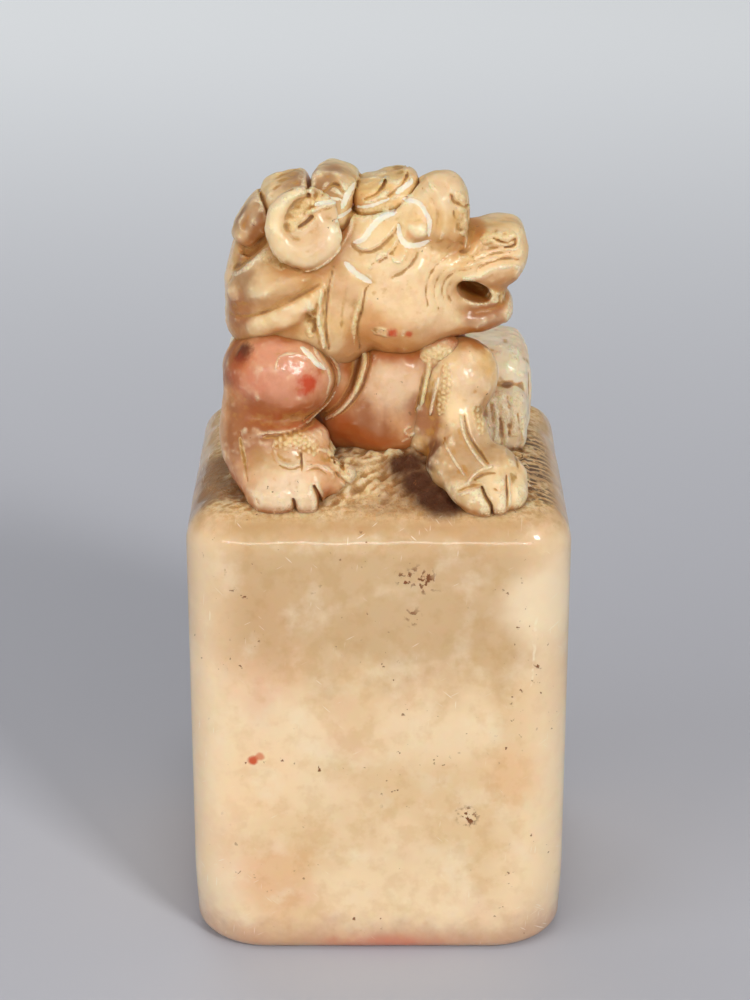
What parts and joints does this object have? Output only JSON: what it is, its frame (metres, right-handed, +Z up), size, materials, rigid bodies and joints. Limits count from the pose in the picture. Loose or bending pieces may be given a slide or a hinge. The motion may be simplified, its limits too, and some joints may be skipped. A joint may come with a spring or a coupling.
{
  "type": "seal stone",
  "caption": "Square seal stone with rounded polished edges and a flat seal face, topped by a knob carved as a crouching guardian lion with its head turned aside.",
  "frame": {"origin": "centre of the flat seal face, which the stone stands on", "axes": "+Z up along the block to the lion; -Y is the side that the lion's chest faces; +X is the side that its head turns to"},
  "size_m": [0.025, 0.025, 0.0525],
  "materials": {
    "cream_stone": "polished waxy soapstone, cream to honey, mottled and a little translucent",
    "honey_stone": "carved and waxed soapstone, honey coloured, with golden patina in the cuts",
    "rose_stone": "carved and waxed soapstone with pink and orange-red veins",
    "pale_stone": "carved soapstone, pale, with stippled hair"
  },
  "bodies": {
    "root": {"seal_block": "cream_stone", "chin_tuft": "pale_stone", "crest_curl_1": "honey_stone", "crest_curl_2": "honey_stone", "crest_curl_3": "honey_stone", "crest_curl_4": "honey_stone", "ground_mound": "cream_stone", "left_brow": "honey_stone", "left_brow_flame": "honey_stone", "left_cheek": "honey_stone", "left_chest_strap": "honey_stone", "left_ear": "pale_stone", "left_elbow_tuft": "pale_stone", "left_eye": "pale_stone", "left_fore_paw": "honey_stone", "left_foreleg": "honey_stone", "left_haunch": "pale_stone", "left_hind_paw": "pale_stone", "left_mane_lock_1": "honey_stone", "left_mane_lock_2": "honey_stone", "left_mane_lock_3": "honey_stone", "left_ruff": "honey_stone", "left_shoulder": "rose_stone", "lower_jaw": "rose_stone", "mane": "honey_stone", "muzzle": "honey_stone", "nape_lock_1": "honey_stone", "nape_lock_2": "honey_stone", "nape_lock_3": "honey_stone", "nose": "honey_stone", "right_brow": "honey_stone", "right_brow_flame": "honey_stone", "right_cheek": "honey_stone", "right_chest_strap": "honey_stone", "right_ear": "pale_stone", "right_elbow_tuft": "pale_stone", "right_eye": "pale_stone", "right_fore_paw": "honey_stone", "right_foreleg": "honey_stone", "right_haunch": "pale_stone", "right_hind_paw": "pale_stone", "right_mane_lock_1": "honey_stone", "right_mane_lock_2": "honey_stone", "right_mane_lock_3": "honey_stone", "right_ruff": "honey_stone", "right_shoulder": "rose_stone", "skull": "honey_stone", "tail_lock_1": "honey_stone", "tail_lock_2": "honey_stone", "tail_lock_3": "honey_stone", "torso": "rose_stone", "upper_lip": "honey_stone"}
  },
  "joints": []
}
